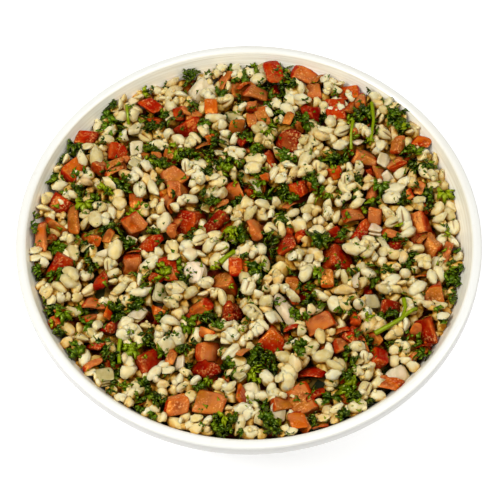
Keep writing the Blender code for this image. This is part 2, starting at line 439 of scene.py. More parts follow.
def blockShape(rng, size, power, lump, skin=0.0, bend=0.0, shear=0.17, chops=0, cuts=5):
    # a cut block with rounded edges; skin bulges its +X side, chops take corners off, bend curls it round Y
    work = bmesh.new()
    bmesh.ops.create_cube(work, size=2.0)
    bmesh.ops.subdivide_edges(work, edges=work.edges[:], cuts=cuts, use_grid_fill=True)
    points = np.array([v.co[:] for v in work.verts])
    faces = [tuple(v.index for v in f.verts) for f in work.faces]
    work.free()
    rind = (points[:, 0] + 1) / 2  # 0 on the side away from the skin, 1 on it
    edge = np.sort(np.abs(points), axis=1)[:, 1]  # 1 along the block's edges
    points = np.sign(points) * np.abs(points) ** 0.75  # rows of points closer to the edges
    points /= ((np.abs(points) ** power).sum(1) ** (1 / power))[:, None]
    points[:, 0] += skin * np.maximum(points[:, 0], 0) * (1 - 0.5 * (points[:, 1] ** 2 + points[:, 2] ** 2))
    for _ in range(chops):
        way = rng.normal(size=3) * (0.6, 1, 1)
        way /= np.linalg.norm(way)
        points -= np.maximum(points @ way - rng.uniform(0.7, 1.0), 0)[:, None] * way * 0.95
    lean = rng.uniform(-shear, shear, (3, 3))
    np.fill_diagonal(lean, 1)
    points = points @ lean.T * (1 + rng.uniform(-shear, shear, 3) * points[:, [1, 2, 0]])
    points *= np.array(size) / 2
    outward = points / np.linalg.norm(points, axis=1)[:, None]
    unevenness = waves(rng, points, 2.6 * mm)[:, None] * 0.6 + waves(rng, points, 5.5 * mm)[:, None]
    points += lump * unevenness * outward
    if bend:
        radius = size[0] / bend
        angle = points[:, 0] / radius
        reach = radius + points[:, 2]
        points = np.stack((reach * np.sin(angle), points[:, 1], reach * np.cos(angle) - radius), 1)
    return points, faces, {"skin": rind, "edge": edge}


def tomatoShapes():
    rng = np.random.default_rng(tomato["seed"])
    side, cuts = tomato["side"], tomato["cuts"]
    blocks = [blockShape(rng, side * np.array(sides), 12.0, 0.17 * mm, skin=skin, chops=chops, cuts=cuts)
              for sides, skin, chops in tomato["blocks"]]
    slabs = [blockShape(rng, side * np.array(sides), 6.0, 0.18 * mm, skin=0.1, bend=bend, chops=chops,
                        cuts=cuts)
             for sides, bend, chops in tomato["slabs"]]
    pulps = [blockShape(rng, side * np.array(sides), 4.0, 0.50 * mm, skin=0.05, chops=chops, cuts=cuts)
             for sides, chops in tomato["pulps"]]
    return blocks, slabs, pulps


def layeredShape(rng, size, power, bend, chops, layers):
    # onion layers lying on each other, each a little shorter and shifted
    parts = []
    for layer in range(layers):
        thin = np.array(size) * mm * (1, 1, 1.0 / layers)
        points, faces, values = blockShape(rng, thin, power, 0.10 * mm, bend=bend, chops=chops, cuts=4)
        points *= 1 - 0.05 * layer
        rise = (layer - (layers - 1) / 2) * size[2] / layers * 0.96
        points += np.array((rng.uniform(-0.5, 0.5), rng.uniform(-0.4, 0.4), rise)) * mm
        parts.append((points, faces, values))
    return join(parts)


def onionShapes():
    rng = np.random.default_rng(onion["seed"])
    return [layeredShape(rng, *row) for row in onion["shapes"]]


parsley = {
    "rise": 1.6 * mm,
    "seed": 41,
    "leafLength": 5.6 * mm,
    # x, y and length in mm of the larger sprigs
    "places": (
        (-5, 83, 12.0), (2, 85, 8.0), (16, 82, 10.4), (26, 76, 9.6), (11, 69, 12.0), (12, 61, 12.0),
        (8, 53, 9.6), (-18, 52, 8.8), (-14, 47, 8.0), (4, 29, 12.0), (-5, 18, 9.6), (61, 62, 12.8),
        (64, 45, 8.8), (68, 35, 8.0), (43, 27, 8.8), (75, 25, 11.2), (60, 19, 10.4), (43, 20, 8.8),
        (-58, 62, 8.8), (-66, 46, 12.8), (-61, 54, 8.0), (-38, 44, 9.6), (-81, 32, 8.0), (-45, 14, 8.8),
        (-77, -4, 8.0), (-52, -28, 13.5), (-45, -29, 8.0), (-66, -30, 7.2), (-62, -38, 8.0),
        (-33, -38, 11.2), (-5, 16, 9.6), (14, 10, 9.6), (4, -14, 14.3), (18, -34, 10.4), (-21, -39, 12.0),
        (64, -9, 10.4), (39, -31, 12.0), (54, -33, 8.8), (-33, -48, 9.6), (-47, -49, 9.6),
        (-39, -63, 8.8), (-53, -60, 8.0), (-6, -55, 12.0), (2, -59, 9.6), (58, -46, 8.0), (31, -68, 8.8),
        (40, -70, 8.0), (-38, -75, 8.0),
    ),
}


def fingerShape(rng, length):
    # one toothed lobe from the origin along +X, ridged above and bent along its length; the attribute for the
    # painted rim highlight is 1 on its rim
    half, ridge = length * rng.uniform(0.24, 0.33), length * rng.uniform(0.05, 0.12)
    side = np.array(((0.32, -0.55), (0.58, -1.10), (0.70, -0.55), (0.92, -0.55)))
    side = side * rng.uniform(0.9, 1.1, side.shape)
    outline = np.vstack(((0.0, 0.0), side, (1.0, 0.0), side[::-1] * (1, -1))) * (length, half)
    points = np.zeros((len(outline) + 2, 3))
    points[:-2, :2] = outline
    points[-2:] = ((0.48 * length, 0, ridge), (0.50 * length, 0, -0.4 * ridge - 0.05 * mm))
    points[:, 2] += rng.uniform(-0.5, 0.9) * np.abs(points[:, 1])
    points[:, 2] -= rng.uniform(-0.25, 0.55) * points[:, 0] ** 2 / length * 0.8
    points[:, 1] += rng.uniform(-0.3, 0.3) * points[:, 0] ** 2 / length
    count = len(outline)
    faces = [(k, (k + 1) % count, count) for k in range(count)]
    faces += [((k + 1) % count, k, count + 1) for k in range(count)]
    # how strongly each outline point takes the painted rim highlight
    rim = (0.6, 1.0, 0.5, 1.0)
    return points, faces, {"vein": np.array((0.0, *rim, 1.0, *rim[::-1], 0.0, 0.2))}


def leafletShape(rng, length, fingers):
    # lobes fanned out from one root, the middle one longest, cupped up or down
    parts = []
    spread = rng.uniform(0.95, 1.35)
    cup = rng.uniform(-0.25, 0.4)
    for index in range(fingers):
        heading = spread * (index / max(fingers - 1, 1) * 2 - 1) + rng.uniform(-0.12, 0.12)
        points, faces, values = fingerShape(rng, length * rng.uniform(0.85, 1.1) * (1 - 0.25 * abs(heading)))
        roll = rng.uniform(-0.5, 0.5)
        lean = rng.uniform(-0.35, 0.35) - cup * abs(heading)
        spin = Euler((roll, lean, heading)).to_matrix()
        parts.append((points @ np.array(spin).T, faces, values))
    return join(parts)


def sprigShape(rng, count, fingers, tilt, reach):
    # curly leaflets in pairs along a short bent rib, smaller towards its tip
    parts = []
    length = parsley["leafLength"] * count * reach
    for index in range(count):
        along = (index // 2 + 0.5) / max(count / 2, 1)
        side = 1 if index % 2 else -1
        heading = 0.0 if index == count - 1 else side * rng.uniform(0.5, 1.4)
        size = parsley["leafLength"] * rng.uniform(0.8, 1.15) * (1.1 - 0.3 * along)
        points, faces, values = leafletShape(rng, size, int(rng.choice(fingers)))
        spin = Euler((rng.uniform(-tilt, tilt), rng.uniform(-0.8, 0.6) * tilt, heading)).to_matrix()
        root = np.array((length * (along - 0.5), 0.0, rng.uniform(-0.4, 0.6) * mm))
        parts.append((points @ np.array(spin).T + root, faces, values))
    points, faces, values = join(parts)
    arch = rng.uniform(0.2, 0.9)
    points[:, 2] -= arch * points[:, 0] ** 2 / max(length, 4 * mm)
    return points - points.mean(0), faces, values


def parsleyShapes():
    rng = np.random.default_rng(parsley["seed"])
    small = [sprigShape(rng, count, (3, 4, 5), 0.55, 0.36) for count in (1, 2, 1, 1, 2, 2, 1, 3)]
    large = [sprigShape(rng, count, (4, 5), 0.45, 0.34) for count in (3, 4, 5, 6)]
    return small, large


heap = {
    "seed": 5,
    "cell": 0.5 * mm,
    "crown": 2.9 * mm,  # the heap's mean top lies this far below the solid's highest point
    "fall": 5.0 * mm,  # how much lower it is at the wall
    "edge": (-1.2, 5.8, 0.6, 1.8, 2.8, 1.4, 1.5, 2.2),  # and mm higher there, at every 45 degrees from +X
    "fallPower": 2.4,
    "bedDepth": 8.0 * mm,  # from the heap's top down to the core
    "wallTop": 87.8 * mm,  # the wall's inner radius at its top, and how it draws in below
    "wallRise": 60.2 * mm,
    "wallTaper": 0.33,
    "reach": 86.5 * mm,  # no piece dropped at random has its middle farther out
    # in mm: how strongly its own patches draw a kind, and how strongly guarded pieces keep it off, when spots
    # are picked and then when the piece is tried on them
    "patchPull": 2.8, "patchPullFine": 2.2, "guardPush": 6, "guardPushFine": 8,
    "standOut": 3.0 * mm,  # a piece's tip may stand this far out of the goal at no price
    "drawIn": 12, "drawStep": 0.5,  # in mm, how far a placed piece may move inwards to clear the wall
    "wallShare": 0.80,  # this share of a piece's underside has to clear the wall
    # a piece comes down until this share of its underside is clear of what lies there
    "sink": {"grain": 0.55, "crumb": 0.47, "cluster": 0.55, "tomato": 0.78, "onion": 0.80, "sprig": 0.78},
}
span = int(2 * (bowlHigh.x + 8 * mm) / heap["cell"])
axis = (np.arange(span) + 0.5) * heap["cell"] - span * heap["cell"] / 2
gridX, gridY = np.meshgrid(axis, axis, indexing="ij")
fromAxis = np.hypot(gridX, gridY)
rollRng = np.random.default_rng(heap["seed"])
flatPoints = np.stack((gridX.ravel(), gridY.ravel()), 1)


def edgeRise(x, y):
    # how much the heap climbs the wall above its mean edge, fading towards the middle
    rise = np.interp(np.degrees(np.arctan2(y, x)), np.arange(8) * 45.0, heap["edge"], period=360)
    return rise * mm * np.clip(np.hypot(x, y) / heap["wallTop"], 0, 1) ** 3


def domeHeight(share):
    # the heap's mean top at that share of the way out to the wall
    return saladHigh.z - heap["crown"] - heap["fall"] * share ** heap["fallPower"]


def field(length):
    # smooth random hills and hollows over the whole heap, from about -1 to 1
    return waves(rollRng, flatPoints, length, 9).reshape(gridX.shape)


goal = domeHeight(np.clip(fromAxis / heap["wallTop"], 0, 1))
goal += edgeRise(gridX, gridY)
goal += 1.0 * mm * field(30 * mm) + 0.7 * mm * field(13 * mm)
wallHeight = np.where(
    fromAxis < heap["wallTop"],
    heap["wallRise"] - (heap["wallTop"] - fromAxis) / heap["wallTaper"],
    heap["wallRise"] + (fromAxis - heap["wallTop"]) * 0.8,
)
skyline = np.maximum(goal - heap["bedDepth"] + 0.8 * mm * field(9 * mm), wallHeight)
owner = np.full(skyline.shape, -1)
guarded = np.zeros(skyline.shape, bool)  # where a piece laid at a chosen place should stay in sight
kinds = {}
laid = []  # (kind, print, x, y, height, tint)


def surfaceSamples(part, spacing=0.30 * mm):
    # points spread over the part's triangles
    points, faces, _ = part
    corners = np.array([(f[0], f[k], f[k + 1]) for f in faces for k in range(1, len(f) - 1)])
    a, b, c = points[corners[:, 0]], points[corners[:, 1]], points[corners[:, 2]]
    area = np.linalg.norm(np.cross(b - a, c - a), axis=1) / 2
    rng = np.random.default_rng(1)
    count = np.maximum(1, (area / spacing ** 2 * 2).astype(int))
    which = np.repeat(np.arange(len(corners)), count)
    u, v = rng.random(len(which)), rng.random(len(which))
    flip = u + v > 1
    u[flip], v[flip] = 1 - u[flip], 1 - v[flip]
    return np.vstack((points, a[which] + u[:, None] * (b - a)[which] + v[:, None] * (c - a)[which]))


def makePrint(samples, shape, turn, size):
    # how the piece covers the grid's cells in one attitude: its underside and its top
    cell = heap["cell"]
    placed = samples @ np.array(turn.to_matrix()).T * size
    reach = int(np.abs(placed[:, :2]).max() / cell) + 1
    wide = 2 * reach + 1
    cells = (np.floor(placed[:, :2] / cell + 0.5).astype(int) + reach) @ (wide, 1)
    low, high = np.full(wide * wide, np.inf), np.full(wide * wide, -np.inf)
    np.minimum.at(low, cells, placed[:, 2])
    np.maximum.at(high, cells, placed[:, 2])
    used = np.nonzero(low < np.inf)[0]
    return {
        "shape": shape, "turn": turn, "size": size, "reach": reach,
        "rows": used // wide - reach, "columns": used % wide - reach,
        "low": low[used], "high": high[used], "top": high.max(),
        "meanTop": high[used].mean(),
    }


def makePrints(rng, parts, count, roll, pitch, sizes):
    # several attitudes of each part: any heading, rolled and pitched up to those angles
    prints = []
    for shape, part in enumerate(parts):
        samples = surfaceSamples(part)
        for _ in range(count):
            turn = Euler((rng.uniform(-roll, roll), rng.uniform(-pitch, pitch), rng.uniform(0, 2 * math.pi)))
            prints.append(makePrint(samples, shape, turn, rng.uniform(*sizes)))
    return prints


def choicePrints(rng, part, shape, count, roll, pitch, longest):
    # attitudes of one chosen part, each scaled to be that long as seen from above
    samples = surfaceSamples(part)
    prints = []
    for _ in range(count):
        turn = Euler((rng.uniform(-roll, roll), rng.uniform(-pitch, pitch), rng.uniform(0, 2 * math.pi)))
        across = np.ptp(samples @ np.array(turn.to_matrix()).T, axis=0)[:2].max()
        prints.append(makePrint(samples, shape, turn, longest / across))
    return prints


def some(rng, prints, count):
    return [prints[k] for k in rng.integers(len(prints), size=count)]


def clearWall(stamp, rows, columns):
    # the height at which most of a piece over those cells clears the wall; the rest may cut into it
    wall = wallHeight[rows, columns] - stamp["low"]
    keep = int(heap["wallShare"] * (len(wall) - 1))
    return np.partition(wall, keep)[keep]


def rest(kind, stamp, row, column):
    # how high the piece comes to lie with its middle over that cell
    rows, columns = stamp["rows"] + row, stamp["columns"] + column
    under = skyline[rows, columns] - stamp["low"]
    keep = int(heap["sink"][kind] * (len(under) - 1))
    return max(np.partition(under, keep)[keep], clearWall(stamp, rows, columns))


def lay(kind, stamp, row, column, height, tint, guard=False):
    rows, columns = stamp["rows"] + row, stamp["columns"] + column
    height = min(height, mix["topLimit"] - stamp["top"])
    top = height + stamp["high"]
    above = top > skyline[rows, columns]
    skyline[rows[above], columns[above]] = top[above]
    owner[rows[above], columns[above]] = len(laid)
    if guard:
        guarded[rows, columns] = True
    laid.append((kind, stamp, axis[row], axis[column], height, tint))


def cellOf(x, y):
    return int((x - axis[0]) / heap["cell"] + 0.5), int((y - axis[0]) / heap["cell"] + 0.5)


def settle(rng, order, taste, top=0.0, tries=26, keep=7, attitudes=4, ring=0.0):
    # lays the pieces one by one where the heap is lowest under its goal, each kind favouring its own patches
    inside = np.argwhere((fromAxis < heap["reach"]) & (fromAxis > ring))
    for kind in order:
        spots = inside[rng.integers(len(inside), size=tries)]
        r, c = spots[:, 0], spots[:, 1]
        cost = skyline[r, c] - goal[r, c] - taste[kind][r, c] * heap["patchPull"] * mm
        cost = cost + guarded[r, c] * heap["guardPush"] * mm
        best = None
        for row, column in spots[np.argsort(cost)[:keep]]:
            for stamp in some(rng, kinds[kind]["prints"], attitudes):
                height = rest(kind, stamp, row, column)
                over = guarded[stamp["rows"] + row, stamp["columns"] + column].mean()
                pull = taste[kind][row, column] * heap["patchPullFine"] * mm
                out = height + stamp["top"] - goal[row, column] - heap["standOut"]
                price = height + stamp["meanTop"] - goal[row, column] - pull
                price += over * heap["guardPushFine"] * mm + max(0, out)
                if best is None or price < best[0]:
                    best = (price, stamp, row, column, height)
        price, stamp, row, column, height = best
        if height + stamp["meanTop"] < goal[row, column] + top:
            lay(kind, stamp, row, column, height, rng.random() ** (0.6 if kind == "tomato" else 1.0))


def settleAt(kind, prints, x, y, tint, rise):
    # lays a piece at a chosen place with its top a little above the goal, drawn inwards to clear the wall
    best = None
    for inwards in np.arange(0, heap["drawIn"], heap["drawStep"]) * mm:
        share = 1 - inwards / max(math.hypot(x, y), 1 * mm)
        row, column = cellOf(x * share, y * share)
        for stamp in prints:
            rows, columns = stamp["rows"] + row, stamp["columns"] + column
            wall = clearWall(stamp, rows, columns)
            wanted = goal[row, column] + rise - stamp["top"]
            height = max(min(rest(kind, stamp, row, column), wanted), wall)
            price = abs(height - wanted) + 0.5 * inwards
            if best is None or price < best[0]:
                best = (price, stamp, row, column, height)
        if best[0] < 0.3 * mm + 0.5 * inwards:
            break
    lay(kind, *best[1:], tint, guard=True)


mix = {
    "under": {"grain": 150, "crumb": 120, "cluster": 80, "tomato": 150, "onion": 20, "sprig": 140},
    "over": {"grain": 190, "crumb": 210, "cluster": 262, "tomato": 172, "onion": 26, "sprig": 200},
    "border": {"grain": 90, "crumb": 170, "cluster": 70, "tomato": 30, "sprig": 80},
    "last": {"grain": 40, "crumb": 110, "sprig": 180},
    # how far over the goal each round of pieces may come, and how far from the axis the border's rounds begin
    "underTop": -3.2 * mm, "bankTop": -0.8 * mm, "overTop": 0.8 * mm, "borderTop": 1.6 * mm,
    "lastTop": 2.4 * mm,
    "bankRing": 72 * mm, "overRing": 79 * mm, "borderRing": 80 * mm,
    "topLimit": 63.7 * mm,  # no piece is laid so that its top comes higher
}


def shuffled(rng, counts):
    order = [kind for kind, count in counts.items() for _ in range(count)]
    rng.shuffle(order)
    return order


def heapUp():
    rng = np.random.default_rng(heap["seed"])
    whole, crumbs, clusters = barleyShapes()
    blocks, slabs, pulps = tomatoShapes()
    onions = onionShapes()
    smallSprigs, largeSprigs = parsleyShapes()
    parts = {"grain": whole, "crumb": crumbs, "cluster": clusters, "tomato": blocks + slabs + pulps,
             "onion": onions, "sprig": smallSprigs + largeSprigs}
    # of each part: how many attitudes, the greatest roll and pitch, and the sizes
    attitudes = {"grain": (22, 3.1, 0.5, (0.84, 1.20)), "crumb": (12, 3.1, 3.1, (0.72, 1.12)),
                 "cluster": (14, 3.1, 0.8, (0.95, 1.25)), "tomato": (10, 1.2, 0.6, (0.4, 0.9)),
                 "onion": (12, 0.8, 0.6, (0.6, 1.0)), "sprig": (16, 0.9, 0.7, (0.75, 1.25))}
    for kind, group in parts.items():
        common = smallSprigs if kind == "sprig" else group
        kinds[kind] = {"parts": group, "prints": makePrints(rng, common, *attitudes[kind])}
    taste = {kind: field(18 * mm) for kind in parts}
    taste["crumb"] = 0.6 * taste["grain"] + 0.4 * taste["crumb"]
    taste["cluster"] = taste["grain"]
    taste["sprig"] = 0.5 * field(11 * mm) - 0.4 * taste["grain"]
    taste["tomato"] = 0.7 * taste["tomato"] - 0.5 * taste["grain"]
    print("heap: attitudes ready")

    settle(rng, shuffled(rng, mix["under"]), taste, top=mix["underTop"])
    settle(rng, shuffled(rng, mix["border"]), taste, top=mix["bankTop"], ring=mix["bankRing"])
    print("heap: under layer", len(laid))
    cuts = {
        "block": (0, len(blocks)),
        "slab": (len(blocks), len(slabs)),
        "pulp": (len(blocks) + len(slabs), len(pulps)),
    }
    for x, y, longest, tint, cut in tomato["places"]:
        first, count = cuts[cut]
        shape = first + int(rng.integers(count))
        prints = choicePrints(rng, parts["tomato"][shape], shape, 10, 0.9, 0.8, longest * mm)
        settleAt("tomato", prints, x * mm, y * mm, tint, tomato["rise"])
    for x, y, longest, shape in onion["places"]:
        prints = choicePrints(rng, onions[shape], shape, 8, 0.7, 0.5, 0.9 * longest * mm)
        settleAt("onion", prints, x * mm, y * mm, rng.random(), onion["rise"])
    print("heap: larger pieces", len(laid))
    settle(rng, shuffled(rng, mix["border"]), taste, top=mix["overTop"], ring=mix["overRing"])
    settle(rng, shuffled(rng, mix["over"]), taste, top=mix["overTop"])
    settle(rng, shuffled(rng, mix["border"]), taste, top=mix["borderTop"], ring=mix["borderRing"])
    print("heap: upper layer", len(laid))
    for x, y, longest in parsley["places"]:
        shape = len(smallSprigs) + int(rng.integers(2) + 2 * (longest > 9.4))
        prints = choicePrints(rng, parts["sprig"][shape], shape, 8, 0.5, 0.4, 1.15 * longest * mm)
        settleAt("sprig", prints, x * mm, y * mm, rng.random(), parsley["rise"])
    settle(rng, shuffled(rng, mix["last"]), taste, top=mix["lastTop"])
    settled = (skyline - goal)[fromAxis < 75 * mm].mean() / mm
    print("heap: all laid", len(laid), "skyline to goal", float(settled))


def seen(index, entry):
    # whether a piece shows, or lies close enough under the top to show from the side
    _, stamp, x, y, height, _ = entry
    row, column = cellOf(x, y)
    rows, columns = stamp["rows"] + row, stamp["columns"] + column
    if (owner[rows, columns] == index).sum() > 1:
        return True
    return (height + stamp["high"] > skyline[rows, columns] - 2.0 * mm).mean() > 0.3


def markShade(mesh):
    # how closed in by the heap each vertex is, from 0 to about 1, which the materials paint as shade, and
    # whether it lies bare on top
    points = np.empty(len(mesh.vertices) * 3)
    mesh.vertices.foreach_get("co", points)
    x, y, z = points.reshape(-1, 3).T

    def topAt(dx, dy):
        cells = (((k - axis[0]) / heap["cell"] + 0.5).astype(int) for k in (x + dx, y + dy))
        rows, columns = (np.clip(k, 0, span - 1) for k in cells)
        return skyline[rows, columns] - z

    above = topAt(0, 0)
    closed = np.clip(above / (2.5 * mm), 0, 1)
    for turn in np.linspace(0, 2 * math.pi, 12, endpoint=False):
        rise = np.zeros(len(z))
        for far in (1.2 * mm, 2.4 * mm, 4.2 * mm, 7.0 * mm):
            rise = np.maximum(rise, topAt(far * math.cos(turn), far * math.sin(turn)) / far)
        closed += np.sin(np.arctan(rise)) ** 2 / 6
    normals = np.empty(len(mesh.vertices) * 3, np.float32)
    mesh.vertex_normals.foreach_get("vector", normals)
    # painted shade also grows on a piece's sides, and more on its undersides
    shade = closed / 3 + 0.05 * (1 - normals[2::3])  # the sides a little, the undersides more
    for key, numbers in (("shade", shade), ("bare", above < 0.6 * mm)):
        mesh.attributes.new(key, "FLOAT", "POINT").data.foreach_set("value", np.asarray(numbers, np.float32))


def shapesOf(name, keys):
    # the parts of these kinds as a collection of shapes
    return collectionOf(name, [meshObject("shape", *part) for key in keys for part in kinds[key]["parts"]])


def placer(name, shapes, keys, material):
    # all laid pieces of these kinds as one mesh: their shapes set on points by the tree below
    chosen = [entry for index, entry in enumerate(laid) if entry[0] in keys and seen(index, entry)]
    firsts, count = {}, 0
    for key in keys:
        firsts[key] = count
        count += len(kinds[key]["parts"])
    points = meshObject(name + "Points", [(x, y, z) for _, _, x, y, z, _ in chosen], [], {
        "shape": [firsts[kind] + stamp["shape"] for kind, stamp, *_ in chosen],
        "size": [entry[1]["size"] for entry in chosen],
        "tint": [entry[5] for entry in chosen]})
    turns = np.array([entry[1]["turn"][:] for entry in chosen], np.float32)
    points.data.attributes.new("turn", "FLOAT_VECTOR", "POINT").data.foreach_set("vector", turns.ravel())
    made = runTree(name, placeTree(), points, {"Shapes": shapes, "Material": material})
    made.data.attributes.remove(made.data.attributes["turn"])
    markShade(made.data)
    finishPiece(made, "salad")
    print(name, len(chosen), "pieces")
    return made


def named(start, name, kind="FLOAT"):
    return start.node("GeometryNodeInputNamedAttribute", {"data_type": kind}, {"Name": name}, "Attribute")


def placeTree():
    # each point carries a shape's number, a turn and a size; tint stays on the finished vertices
    tree, start, inputs = newTree("placePieces", {
        "Geometry": "Geometry", "Shapes": "Collection", "Material": "Material"})
    shapes = start.node("GeometryNodeCollectionInfo", {}, {
        "Collection": inputs["Shapes"], "Separate Children": True, "Reset Children": True})
    turn = start.node("FunctionNodeEulerToRotation", {}, {"Euler": named(start, "turn", "FLOAT_VECTOR")})
    instances = start.node("GeometryNodeInstanceOnPoints", {}, {
        "Points": inputs["Geometry"], "Instance": shapes, "Pick Instance": True,
        "Instance Index": named(start, "shape"), "Rotation": turn, "Scale": named(start, "size")})
    endTree(instances, inputs["Material"])
    return tree


def finishPiece(piece, node):
    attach(piece, "root")
    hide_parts(node)


def paintShade(colour, shade, low, high, *tone):
    # painted shade: the colour multiplied by a deeper tone where the heap closes in on it
    shadeTone = shade.step(low, high).mix((1.0, 1.0, 1.0, 1.0), (*tone, 1.0))
    return colour.node("ShaderNodeMix", {"data_type": "RGBA", "blend_type": "MULTIPLY"}, {
        "Factor": 1.0, "A": colour, "B": shadeTone}, "Result")


def grainMaterial():
    material, start, shader = newMaterial("barleyFlesh", {
        "Subsurface Weight": 0.9, "Subsurface Scale": 0.9 * mm, "Subsurface Radius": (1.0, 0.92, 0.72),
        "Specular IOR Level": 0.32, "Specular Tint": (1.0, 0.84, 0.30, 1.0)})
    place = placeOn(start)
    tint = attribute(start, "tint")
    flesh = tint.ramp((0.0, rgb(188, 168, 104)), (0.25, rgb(213, 197, 142)), (0.55, rgb(219, 210, 170)),
                      (0.85, rgb(221, 200, 134)), (1.0, rgb(206, 172, 98)))
    cloud = noiseAt(start, place, 380.0, 3.0)
    flesh = (cloud.step(0.40, 0.75) * 0.5).mix(flesh, rgba(220, 214, 188))
    flesh = (cloud.step(0.46, 0.25) * 0.45).mix(flesh, rgba(204, 176, 112))
    stain = noiseAt(start, place, 85.0, 2.0)
    flesh = (stain.step(0.55, 0.80) * 0.5).mix(flesh, rgba(206, 148, 74))
    flesh = (attribute(start, "crease").step(0.35, 0.95) * 0.85).mix(flesh, rgba(128, 78, 20))
    # painted shade: the grain turns browner and dimmer where the heap closes in on it, in two steps
    flesh = paintShade(flesh, attribute(start, "shade"), 0.18, 0.58, 0.88, 0.61, 0.19)
    flesh = paintShade(flesh, attribute(start, "shade"), 0.42, 0.86, 0.44, 0.28, 0.03)
    grit = noiseAt(start, place, 1100.0, 3.0)
    feed(shader, baseColor=flesh, roughness=0.22 + 0.25 * cloud,
         normal=bump(start, grit + cloud * 2.5, 0.5, 0.32 * mm))
    return material


def tomatoMaterial():
    material, start, shader = newMaterial("tomatoFlesh", {
        "Subsurface Weight": 0.35, "Subsurface Scale": 1.8 * mm, "Subsurface Radius": (1.0, 0.2, 0.05),
        "Specular IOR Level": 0.45, "Specular Tint": (1.0, 0.50, 0.08, 1.0)})
    place = placeOn(start)
    tint, skin = attribute(start, "tint"), attribute(start, "skin")
    shade = tint + (noiseAt(start, place, 130.0, 2.0) - 0.5) * 0.8
    flesh = shade.ramp((0.0, rgb(112, 0, 0)), (0.28, rgb(158, 6, 0)), (0.48, rgb(176, 40, 0)),
                       (0.60, rgb(188, 86, 8)), (0.74, rgb(188, 106, 54)), (1.0, rgb(156, 88, 20)))
    rind = tint.ramp((0.0, rgb(92, 0, 0)), (0.5, rgb(150, 4, 0)), (1.0, rgb(150, 48, 0)))
    pulp = noiseAt(start, place, 240.0, 3.0)
    flesh = (pulp.step(0.50, 0.70) * (0.08 + 0.40 * tint)).mix(flesh, rgba(206, 120, 26))
    flesh = (pulp.step(0.50, 0.30) * 0.6).mix(flesh, rgba(104, 10, 0))
    gel = (skin + pulp * 0.5).step(0.70, 0.20) * (0.04 + 0.5 * tint)
    flesh = gel.mix(flesh, rgba(184, 92, 26))
    outside = skin.step(0.93, 1.0)
    colour = outside.mix(flesh, rind)
    # painted light: lighter orange along the block's edges
    colour = (attribute(start, "edge").step(0.82, 1.0) * (0.05 + 0.35 * tint)).mix(colour, rgba(196, 80, 14))
    # painted highlights: small pale glints of wet light in the base colour, fewer on the skin
    glint = noiseAt(start, place, 1150.0, 3.0).step(0.50, 0.70)
    glint = glint * noiseAt(start, place, 170.0, 2.0).step(0.40, 0.62)
    colour = (glint * (1 - 0.7 * outside) * 0.6).mix(colour, rgba(240, 176, 110))
    # painted shade: a deeper red where the heap closes in
    colour = paintShade(colour, attribute(start, "shade"), 0.08, 0.62, 0.42, 0.23, 0.02)
    # the wet grain of the cut faces, smooth on the skin
    grain = noiseAt(start, place, 1500.0, 2.0) * 0.5 + noiseAt(start, place, 620.0, 2.0)
    wet = (1 - 0.85 * outside) * grain + pulp * 1.5
    feed(shader, baseColor=colour, roughness=0.13 + 0.10 * pulp, normal=bump(start, wet, 0.6, 0.30 * mm))
    return material


def onionMaterial():
    material, start, shader = newMaterial("onionFlesh", {
        "Subsurface Weight": 0.9, "Subsurface Scale": 2.8 * mm, "Subsurface Radius": (1.0, 0.90, 0.60),
        "IOR": 1.38, "Specular IOR Level": 0.5, "Specular Tint": (1.0, 0.95, 0.80, 1.0)})
    place = placeOn(start)
    flesh = attribute(start, "tint").ramp(
        (0.0, rgb(170, 154, 96)), (0.4, rgb(198, 182, 134)), (1.0, rgb(214, 188, 158)))
    ribs = start.node("ShaderNodeTexWave", {}, {
        "Vector": place, "Scale": 90.0, "Distortion": 9.0, "Detail": 3.0}, "Fac")
    cloud = noiseAt(start, place, 250.0, 3.0)
    flesh = (cloud.step(0.35, 0.75) * 0.45).mix(flesh, rgba(224, 212, 176))
    flesh = (ribs.step(0.5, 0.95) * 0.25).mix(flesh, rgba(160, 150, 100))
    # painted shade: dimmer and browner where the heap closes in
    flesh = paintShade(flesh, attribute(start, "shade"), 0.10, 0.70, 0.60, 0.48, 0.16)
    feed(shader, baseColor=flesh, roughness=0.16 + 0.2 * cloud,
         normal=bump(start, ribs * 0.5 + cloud, 0.5, 0.35 * mm))
    return material


def leafMaterial(name="parsleyLeaf"):
    material, start, shader = newMaterial(name, {
        "Specular IOR Level": 0.60, "Specular Tint": (0.9, 1.0, 0.3, 1.0)})
    place = placeOn(start)
    leaf = attribute(start, "tint").ramp(
        (0.0, rgb(10, 30, 0)), (0.45, rgb(26, 54, 0)), (0.8, rgb(66, 98, 0)), (1.0, rgb(140, 152, 6)))
    patch = noiseAt(start, place, 480.0, 3.0)
    leaf = (patch.step(0.48, 0.72) * 0.5).mix(leaf, rgba(136, 154, 8))
    # painted highlight: lighter green along the lobes' rims
    leaf = (attribute(start, "vein").step(0.55, 1.05) * 0.75).mix(leaf, rgba(132, 156, 14))
    # painted shade: a deeper green where the heap closes in
    leaf = paintShade(leaf, attribute(start, "shade"), 0.10, 0.70, 0.22, 0.22, 0.05)
    feed(shader, baseColor=leaf, roughness=0.10 + 0.25 * patch, normal=bump(start, patch, 0.8, 0.4 * mm))
    return material


def coreMaterial():
    # the salad's own kinds of colour, but painted deep and brown: painted shade in the heap's depths
    material, start, shader = newMaterial("saladDepths", {"Specular IOR Level": 0.15})
    place = placeOn(start)
    cells = start.node("ShaderNodeTexVoronoi", {}, {"Vector": place, "Scale": 190.0}, "Color")
    which = cells.node("ShaderNodeSeparateColor", {}, {"Color": cells}, "Red")
    mixed = which.ramp((0.0, rgb(26, 34, 0)), (0.3, rgb(54, 48, 2)), (0.45, rgb(120, 88, 22)),
                       (0.7, rgb(140, 104, 34)), (0.75, rgb(90, 12, 0)), (1.0, rgb(126, 36, 0)))
    rough = noiseAt(start, place, 400.0, 3.0)
    feed(shader, baseColor=mixed, roughness=0.4 + 0.3 * rough, normal=bump(start, rough, 0.6, 0.6 * mm))
    return material


